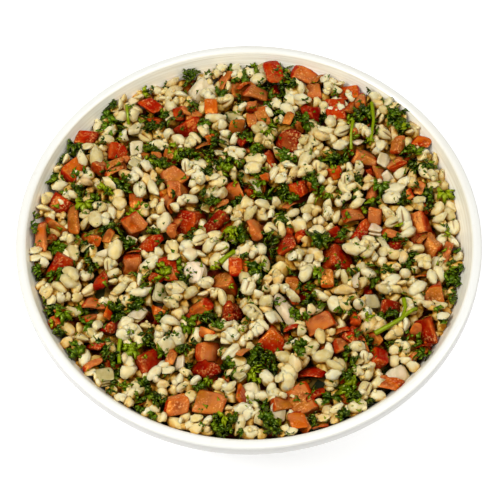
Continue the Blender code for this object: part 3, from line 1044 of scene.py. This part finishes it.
def glazeMaterial():
    material, start, shader = newMaterial("whiteGlaze", {
        "Coat Weight": 0.35, "Coat Roughness": 0.08, "IOR": 1.5})
    place = placeOn(start)
    split = place.node("ShaderNodeSeparateXYZ", {}, {"Vector": place}, "X")
    x, y, z = split, split.pick("Y"), split.pick("Z")
    reach = (x * x + y * y).math("SQRT")
    turn = y.math("ARCTAN2", x)
    # fine rings that fade in and out round the bowl
    around = start.node("ShaderNodeCombineXYZ", {}, {"X": turn * 1.4, "Y": z * 900.0, "Z": reach * 260.0})
    rings = noiseAt(start, around, 1.0, 2.0)
    white = (rings.step(0.35, 0.7) * 0.6).mix(rgba(233, 233, 227), rgba(228, 225, 214))
    # a line within the wall's thickness parts the cream inside, painted light, from the greyer outside,
    # painted shade
    middle = z * bowl["taper"] + (innerRadius(0.0) + 0.6 * bowl["wall"])
    inside = (middle - reach).step(0.0, 0.5 * mm) * z.step(bowl["wallFoot"], bowl["openFrom"])
    inside = inside * z.step(bowl["height"], 0.985 * bowl["height"])
    # painted light: the inside lighter and warmer than the rim, with the warm bounce from the salad
    white = inside.mix(white, rings.step(0.40, 0.62).mix(rgba(255, 251, 234), rgba(242, 235, 213)))
    # painted shade: the outside below the lip greyer than the rest of the glaze
    outside = (1 - inside) * z.step(bowl["height"] - 0.6 * mm, bowl["height"] - 1.4 * mm)
    white = outside.mix(white, rgba(212, 210, 204))
    specks = noiseAt(start, place, 260.0, 2.0)
    white = (specks.step(0.66, 0.76) * 0.12).mix(white, rgba(196, 186, 160))
    feed(shader, baseColor=white, roughness=0.22 + 0.2 * rings, normal=bump(start, rings, 0.10, 0.15 * mm))
    return material


bowl = {
    "steps": 224,
    "lipRadius": bowlHigh.x, "height": bowlHigh.z,
    "collar": 6.2 * mm, "flatOuter": 92.0 * mm, "flatInner": 89.6 * mm,
    "bevelWidth": 2.25 * mm, "bevelDrop": 1.8 * mm,
    "taper": 0.33, "wall": 4.2 * mm, "wallFoot": 38.0 * mm,
    "floorRadius": 36.0 * mm, "floor": 6.2 * mm,
    "footRadius": 45.0 * mm, "footWidth": 4.2 * mm, "footHeight": 3.4 * mm, "recess": 2.2 * mm,
    "ringSpacing": 0.95 * mm, "ringDepth": 0.045 * mm,
    "openFrom": 46.0 * mm, "opening": 1.35 * mm,  # the wall flares a little more from there up to the lip
}


def curvePoints(start, startHandle, endHandle, end, count):
    # points of a Bezier stretch without its ends
    t = np.linspace(0, 1, count + 2)[1:-1, None]
    a, b, c, d = (np.array(p) for p in (start, startHandle, endHandle, end))
    return (1 - t) ** 3 * a + 3 * t * (1 - t) ** 2 * b + 3 * t * t * (1 - t) * c + t ** 3 * d


def innerRadius(height):
    top = bowl["height"] - bowl["bevelDrop"]
    return bowl["flatInner"] - bowl["bevelWidth"] - bowl["taper"] * (top - height)


def bowlProfile():
    # (radius, height) from the middle of the floor, up the inside, over the lip and down to the foot
    b = bowl
    drop = 0.6 * (b["wallFoot"] - b["floor"])
    foot = (innerRadius(b["wallFoot"]), b["wallFoot"])
    floorTurn = curvePoints((b["floorRadius"], b["floor"]), (0.85 * foot[0], b["floor"]),
                            (foot[0] - b["taper"] * drop, foot[1] - drop), foot, 14)
    heights = np.arange(b["wallFoot"], b["height"] - 0.6 * mm, b["ringSpacing"] / 4)
    phase = heights / b["ringSpacing"] * 2 * math.pi + 2.2 * np.sin(heights / (3.1 * mm))
    ripple = b["ringDepth"] * np.sin(phase)
    opened = np.clip((heights - b["openFrom"]) / (b["height"] - b["openFrom"]), 0, 1) ** 1.3 * b["opening"]
    wall = np.stack((innerRadius(heights) + opened + ripple, heights), 1)
    bevel = [(b["flatInner"] - 0.15 * mm, b["height"] - 0.36 * mm)]
    lipTurn = b["lipRadius"] - b["flatOuter"]
    crown = b["height"] - 0.3 * mm
    lip = [(b["flatInner"] + 0.2 * mm, b["height"] - 0.16 * mm),
           (b["flatInner"] + 0.7 * mm, b["height"] - 0.04 * mm), (b["flatInner"] + 1.4 * mm, b["height"])]
    edge = [(b["flatOuter"] + lipTurn * math.sin(a), crown - lipTurn * (1 - math.cos(a)))
            for a in np.radians((5, 22, 40, 58, 75, 90))]
    collarFoot = b["height"] - b["collar"]
    wallOut = innerRadius(collarFoot) + b["wall"]
    under = [(b["lipRadius"], collarFoot + 0.8 * mm), (b["lipRadius"] - 0.15 * mm, collarFoot + 0.3 * mm),
             (b["lipRadius"] - 0.6 * mm, collarFoot), (wallOut + 0.6 * mm, collarFoot - 0.1 * mm),
             (wallOut + 0.1 * mm, collarFoot - 0.5 * mm), (wallOut - 0.6 * mm, collarFoot - 1.6 * mm)]
    outerFoot = (foot[0] + b["wall"], b["wallFoot"])
    outer = curvePoints(outerFoot, (outerFoot[0] - b["taper"] * 0.6 * b["wallFoot"], 0.4 * b["wallFoot"]),
                        (b["footRadius"] + 21 * mm, b["footHeight"] + 0.5 * mm),
                        (b["footRadius"], b["footHeight"]), 22)
    ring = b["footRadius"] - b["footWidth"]
    base = [(b["footRadius"], b["footHeight"]), (b["footRadius"] - 0.1 * mm, b["footHeight"] - 0.5 * mm),
            (b["footRadius"] - 0.45 * mm, 0.3 * mm), (b["footRadius"] - 0.8 * mm, 0.0),
            (ring + 0.3 * mm, 0.0), (ring, 0.2 * mm), (ring - 0.7 * mm, b["recess"] - 0.3 * mm),
            (ring - 1.1 * mm, b["recess"]), (0.0, b["recess"])]
    floor = [(0.0, b["floor"]), (b["floorRadius"], b["floor"])]
    return np.vstack((floor, floorTurn, wall, bevel, lip, edge, under, [outerFoot], outer, base))


def turnedTree():
    # the base's points as a profile turned round Z; relief on a profile point roughens what it makes
    tree, start, inputs = newTree("turned", {
        "Geometry": "Geometry", "Steps": "Int", "Relief": "Float", "Material": "Material"})
    profile = inputs["Geometry"]
    rows = start.node("GeometryNodeAttributeDomainSize", {}, {"Geometry": profile}, "Point Count")
    grid = start.node("GeometryNodeMeshGrid", {}, {
        "Size X": 1.0, "Size Y": 1.0, "Vertices X": inputs["Steps"] + 1, "Vertices Y": rows}, "Mesh")
    here = start.node("GeometryNodeInputPosition")
    split = here.node("ShaderNodeSeparateXYZ", {}, {"Vector": here}, "X")
    row = ((split.pick("Y") + 0.5) * (rows - 1)).math("ROUND")
    point = start.node("GeometryNodeSampleIndex", {"data_type": "FLOAT_VECTOR"}, {
        "Geometry": profile, "Value": here, "Index": row})
    relief = start.node("GeometryNodeSampleIndex", {"data_type": "FLOAT"}, {
        "Geometry": profile, "Value": named(start, "relief"), "Index": row})
    grid = start.node("GeometryNodeStoreNamedAttribute", {"data_type": "FLOAT", "domain": "POINT"}, {
        "Geometry": grid, "Name": "relief", "Value": relief})
    place = start.node("ShaderNodeSeparateXYZ", {}, {"Vector": point}, "X")
    turn = (split + 0.5) * (2 * math.pi)
    position = start.node("ShaderNodeCombineXYZ", {}, {
        "X": place * turn.math("COSINE"), "Y": place * turn.math("SINE"), "Z": place.pick("Z")})
    surface = start.node("GeometryNodeSetPosition", {}, {"Geometry": grid, "Position": position})
    closed = start.node("GeometryNodeMergeByDistance", {}, {"Geometry": surface, "Distance": 0.01 * mm})
    lumps = noiseAt(start, here, 150.0, 3.0) - 0.5
    lift = start.node("ShaderNodeCombineXYZ", {}, {"Z": lumps * named(start, "relief") * inputs["Relief"]})
    rough = start.node("GeometryNodeSetPosition", {}, {"Geometry": closed, "Offset": lift})
    endTree(rough, inputs["Material"])
    return tree


def turnProfile(name, profile, relief, steps, depth, material):
    base = meshObject(name + "Profile", [(r, 0.0, z) for r, z in profile], [], {"relief": relief})
    made = runTree(name, turnedTree(), base, {"Steps": steps, "Relief": depth, "Material": material})
    made.data.attributes.remove(made.data.attributes["relief"])
    made.data.shade_smooth()
    return made


def makeBowl():
    profile = bowlProfile()
    made = turnProfile("servingBowl", profile[::-1], np.zeros(len(profile)), bowl["steps"], 0.0,
                       glazeMaterial())
    finishPiece(made, "bowl")
    return made


bed = {
    "edge": 82.2 * mm,
    "gap": 0.4 * mm,  # clear of the bowl
    "rows": 70, "steps": 180,
    "relief": 5.0 * mm,
    "riseFrom": 30 * mm, "riseOver": 15 * mm,  # it follows the heap's edge up the wall only above there
}


def makeCore():
    # the mixed salad under the loose pieces, closed down to the bowl's floor
    gap, edge = bed["gap"], bed["edge"]
    reach = np.linspace(0.0, 1.0, bed["rows"])
    top = domeHeight(reach * edge / heap["wallTop"]) - heap["bedDepth"]
    foot = innerRadius(bowl["wallFoot"]) - gap
    side = [(min(edge, innerRadius(top[-1] - 1 * mm) - gap), top[-1] - 1.0 * mm), (foot, bowl["wallFoot"]),
            (bowl["floorRadius"] + 12 * mm, bowl["floor"] + 3 * mm), (0.0, bowl["floor"] + gap)]
    profile = np.vstack((np.stack((reach * edge, top), 1), side))[::-1]
    relief = np.concatenate((np.zeros(len(side)), np.ones(len(reach))))
    made = turnProfile("saladCore", profile, relief, bed["steps"], bed["relief"], coreMaterial())
    for vertex in made.data.vertices:
        x, y, z = vertex.co
        share = min(max((z - bed["riseFrom"]) / bed["riseOver"], 0.0), 1.0)
        vertex.co.z += max(edgeRise(x, y), 0.0) * share
    made.data.update()
    finishPiece(made, "salad")
    return made


def volume(piece):
    # how much the mesh holds; negative would mean that it is inside out
    mesh = piece.data
    mesh.calc_loop_triangles()
    points = np.array([v.co[:] for v in mesh.vertices])
    corners = np.array([t.vertices[:] for t in mesh.loop_triangles])
    a, b, c = (points[corners[:, k]] for k in range(3))
    return float((a * np.cross(b, c)).sum() / 6)


heapUp()
servingBowl = makeBowl()
core = makeCore()
print("volumes, cubic cm", volume(servingBowl) * 1e6, volume(core) * 1e6)
barleyKinds = ("grain", "crumb", "cluster")
barleyPiece = placer("barleyGrains", shapesOf("barleyShape", barleyKinds), barleyKinds,
                     grainMaterial())
tomatoPiece = placer("tomatoDice", shapesOf("tomatoShape", ["tomato"]), ["tomato"],
                     tomatoMaterial())
onionPiece = placer("onionDice", shapesOf("onionShape", ["onion"]), ["onion"], onionMaterial())
sprigPiece = placer("parsleySprigs", shapesOf("sprigShape", ["sprig"]), ["sprig"], leafMaterial())


bits = {
    "seed": 71,
    "density": 18000.0,  # per square metre of bare surface, before patches thicken or thin it
    "size": 2.6 * mm,
    "smallest": 0.8, "largest": 1.45,
}
flecks = {
    "seed": 61,
    "density": 52000.0,  # per square metre of bare surface, before patches thicken or thin it
    "length": 2.8 * mm, "width": 1.6 * mm, "leaf": 2.3 * mm,
    "smallest": 0.65, "largest": 1.7,
}


def shardShape(rng):
    # a snipped bit of leaf: a thin pointed lens, a little bent
    count = 6
    turns = np.linspace(0, 2 * math.pi, count, endpoint=False) + rng.uniform(-0.3, 0.3, count)
    reach = rng.uniform(0.75, 1.2, count) * np.where(np.arange(count) % 2, 1.0, 0.45)
    along, across = flecks["length"] / 2 * reach, flecks["width"] / 2 * reach
    edge = np.stack((along * np.cos(turns), across * np.sin(turns), 0 * turns), 1)
    points = np.vstack((edge, (0, 0, 0), (0, 0, 0)))
    points[:, 2] = rng.uniform(-0.12, 0.2) * points[:, 0] ** 2 / flecks["length"] * 4 + 0.12 * mm
    points[-2, 2] += 0.10 * mm
    points[-1, 2] -= 0.10 * mm
    faces = [(count, k, (k + 1) % count) for k in range(count)]
    faces += [(count + 1, (k + 1) % count, k) for k in range(count)]
    return points, faces, {"vein": np.zeros(count + 2)}


def randomBetween(start, low, high, seed):
    return start.node("FunctionNodeRandomValue", {"data_type": "FLOAT"}, {
        "Min": low, "Max": high, "Seed": seed})


def strewTree():
    # small shapes on the bare tops of the barley, or of all three pieces, thicker in some patches
    tree, start, inputs = newTree("strewBits", {
        "Barley": "Object", "Tomato": "Object", "Onion": "Object", "Shapes": "Collection", "Density": "Float",
        "Smallest": "Float", "Largest": "Float", "Evenness": "Float", "Everywhere": "Bool", "Seed": "Int",
        "Material": "Material"})
    sources = [start.node("GeometryNodeObjectInfo", {}, {"Object": inputs[key]}, "Geometry")
               for key in ("Barley", "Tomato", "Onion")]
    strewn = start.node("GeometryNodeJoinGeometry", {}, {"Geometry": sources[1:]})
    strewn = start.node("GeometryNodeSwitch", {"input_type": "GEOMETRY"}, {
        "Switch": inputs["Everywhere"], "True": strewn})
    ground = start.node("GeometryNodeJoinGeometry", {}, {"Geometry": [sources[0], strewn]})
    place = start.node("GeometryNodeInputPosition")
    patch = noiseAt(start, place, 95.0, 2.0).step(0.36, 0.66)
    density = inputs["Density"] * named(start, "bare") * (patch + inputs["Evenness"])
    points = start.node("GeometryNodeDistributePointsOnFaces", {}, {
        "Mesh": ground, "Density": density, "Seed": inputs["Seed"]})
    lying = points.pick("Rotation")
    spin = randomBetween(start, 0.0, 2 * math.pi, inputs["Seed"] + 1)
    turn = start.node("ShaderNodeCombineXYZ", {}, {"Z": spin})
    turn = start.node("FunctionNodeEulerToRotation", {}, {"Euler": turn})
    turn = start.node("FunctionNodeRotateRotation", {"rotation_space": "LOCAL"}, {0: lying, 1: turn})
    size = randomBetween(start, inputs["Smallest"], inputs["Largest"], inputs["Seed"] + 2)
    size = size * size * 0.6
    tint = randomBetween(start, 0.5, 1.0, inputs["Seed"] + 3)
    marked = start.node("GeometryNodeStoreNamedAttribute", {"data_type": "FLOAT", "domain": "POINT"}, {
        "Geometry": points, "Name": "tint", "Value": tint})
    shards = start.node("GeometryNodeCollectionInfo", {}, {
        "Collection": inputs["Shapes"], "Separate Children": True, "Reset Children": True})
    instances = start.node("GeometryNodeInstanceOnPoints", {}, {
        "Points": marked, "Instance": shards, "Pick Instance": True, "Rotation": turn, "Scale": size})
    endTree(instances, inputs["Material"])
    return tree


def bitShape(rng):
    # a small crumb of barley with twenty corners
    return crumbShape(rng, bits["size"], chops=1, around=6, rings=3)


def strew(name, shapes, settings, evenness, everywhere, material):
    base = meshObject(name + "Base", [(0, 0, 0)], [])
    made = runTree(name, strewTree(), base, {
        "Barley": barleyPiece, "Tomato": tomatoPiece, "Onion": onionPiece,
        "Shapes": shapes, "Evenness": evenness, "Everywhere": everywhere,
        "Density": settings["density"], "Smallest": settings["smallest"], "Largest": settings["largest"],
        "Seed": settings["seed"], "Material": material})
    markShade(made.data)
    finishPiece(made, "salad")
    return made


def strewAll():
    rng = np.random.default_rng(flecks["seed"])
    scraps = [shardShape(rng) for _ in range(5)] + [leafletShape(rng, flecks["leaf"], 3) for _ in range(4)]
    shards = collectionOf("shard", [meshObject("shard", *part) for part in scraps])
    crumbs = collectionOf("bit", [meshObject("bit", *bitShape(rng)) for _ in range(8)])
    made = [strew("barleyBits", crumbs, bits, 0.4, False, grainMaterial()),
            strew("parsleyFlecks", shards, flecks, 0.10, True, leafMaterial())]
    for piece in (barleyPiece, tomatoPiece, onionPiece, sprigPiece, *made):
        piece.data.attributes.remove(piece.data.attributes["bare"])


strewAll()


stems = {
    "thickness": 1.9 * mm,
    "sides": 8,
    "step": 1.2 * mm, "lift": 0.3 * mm,  # along the stem, and over what it lies on
    # each stem as x, y in mm along it, and how thick it is against the others
    "lines": (
        (((49, -43), (55, -39.5), (60, -36), (61.5, -32), (61, -27)), 1.0),
        (((60, -36), (63, -34.5), (65.5, -32)), 0.9),
        (((51, 64), (51.5, 55), (50, 45)), 0.75), (((43, 55), (42, 49), (42, 43)), 0.7),
        (((-50, -46), (-50.5, -51), (-50, -56)), 0.8), (((-51, 64), (-50, 56)), 0.7),
        (((-11.5, -12), (-6, -6.5)), 1.1),
    ),
}


def stemTree():
    # the base's edges as round stems, as thick as its thick attribute says
    tree, start, inputs = newTree("stems", {
        "Geometry": "Geometry", "Radius": "Float", "Sides": "Int", "Material": "Material"})
    curve = start.node("GeometryNodeMeshToCurve", {}, {"Mesh": inputs["Geometry"]})
    ring = start.node("GeometryNodeCurvePrimitiveCircle", {}, {
        "Resolution": inputs["Sides"], "Radius": inputs["Radius"]}, "Curve")
    tube = start.node("GeometryNodeCurveToMesh", {}, {
        "Curve": curve, "Profile Curve": ring, "Scale": named(start, "thick"), "Fill Caps": True})
    endTree(tube, inputs["Material"])
    return tree


def makeStems():
    points, edges, thick = [], [], []
    for line, size in stems["lines"]:
        corners = np.array(line) * mm
        along = np.concatenate(((0,), np.cumsum(np.linalg.norm(np.diff(corners, axis=0), axis=1))))
        steps = np.linspace(0, along[-1], max(4, int(along[-1] / stems["step"])))
        x, y = (np.interp(steps, along, corners[:, k]) for k in (0, 1))
        z = []
        for px, py in zip(x, y):
            row, column = cellOf(px, py)
            z.append(np.percentile(skyline[row - 3:row + 4, column - 3:column + 4], 70))
        z = np.poly1d(np.polyfit(steps, np.array(z), 2))(steps) + stems["lift"]
        z = np.minimum(z, mix["topLimit"] - stems["thickness"] / 2)
        edges += [(len(points) + k, len(points) + k + 1) for k in range(len(steps) - 1)]
        points += list(zip(x, y, z))
        thick += list(size * (1 + 0.12 * np.cos(steps / along[-1] * 5)))
    values = {"thick": thick, "tint": np.full(len(points), 0.93), "vein": np.zeros(len(points))}
    base = meshObject("stemLines", points, [], values, edges=edges)
    made = runTree("parsleyStems", stemTree(), base, {
        "Radius": stems["thickness"] / 2, "Sides": stems["sides"], "Material": leafMaterial("parsleyStem")})
    made.data.shade_smooth()
    markShade(made.data)
    for key in ("thick", "bare"):
        made.data.attributes.remove(made.data.attributes[key])
    finishPiece(made, "salad")


makeStems()


studio = {
    "cameraDistance": 0.80, "cameraElevation": 60.24, "lens": 141.4,
    "aim": (0.0004, 0.0027, 0.045), "lightAim": (0, 0, 0.04),
    "sky": 0.09, "skyColour": (1.0, 0.96, 0.86, 1.0),
    "key": (-0.60, -0.20, 1.0), "keySize": 0.5, "keyPower": 11.0,
    "fill": (0.45, -0.1, 1.0), "fillSize": 0.8, "fillPower": 7.4,
}


def areaLight(name, place, size, power):
    light = bpy.data.lights.new(name, "AREA")
    light.size = size
    light.energy = power
    obj = bpy.data.objects.new(name, light)
    obj.location = place
    obj.rotation_euler = (Vector(studio["lightAim"]) - Vector(place)).to_track_quat("-Z", "Y").to_euler()
    bpy.context.scene.collection.objects.link(obj)


def makeStudio():
    world = bpy.data.worlds.new("studio")
    bpy.context.scene.world = world
    world.use_nodes = True
    background = world.node_tree.nodes["Background"]
    background.inputs["Color"].default_value = studio["skyColour"]
    background.inputs["Strength"].default_value = studio["sky"]
    areaLight("keyLight", studio["key"], studio["keySize"], studio["keyPower"])
    areaLight("fillLight", studio["fill"], studio["fillSize"], studio["fillPower"])
    floorMesh = bpy.data.meshes.new("floor")
    floorMesh.from_pydata([(-3, -3, 0), (3, -3, 0), (3, 3, 0), (-3, 3, 0)], [], [(0, 1, 2, 3)])
    floor = bpy.data.objects.new("floor", floorMesh)
    bpy.context.scene.collection.objects.link(floor)
    floorMesh.materials.append(newMaterial("paleFloor", {
        "Base Color": (0.60, 0.60, 0.60, 1.0), "Roughness": 0.9,
        "Emission Color": (1.0, 1.0, 1.0, 1.0), "Emission Strength": 0.62})[0])
    camera = bpy.data.objects.new("camera", bpy.data.cameras.new("camera"))
    camera.data.lens = studio["lens"]
    tilt = math.radians(studio["cameraElevation"])
    back = Vector((0, -math.cos(tilt), math.sin(tilt)))
    camera.location = Vector(studio["aim"]) + back * studio["cameraDistance"]
    camera.rotation_euler = (-back).to_track_quat("-Z", "Y").to_euler()
    bpy.context.scene.collection.objects.link(camera)
    bpy.context.scene.camera = camera
    bpy.context.scene.view_settings.view_transform = "Standard"


makeStudio()
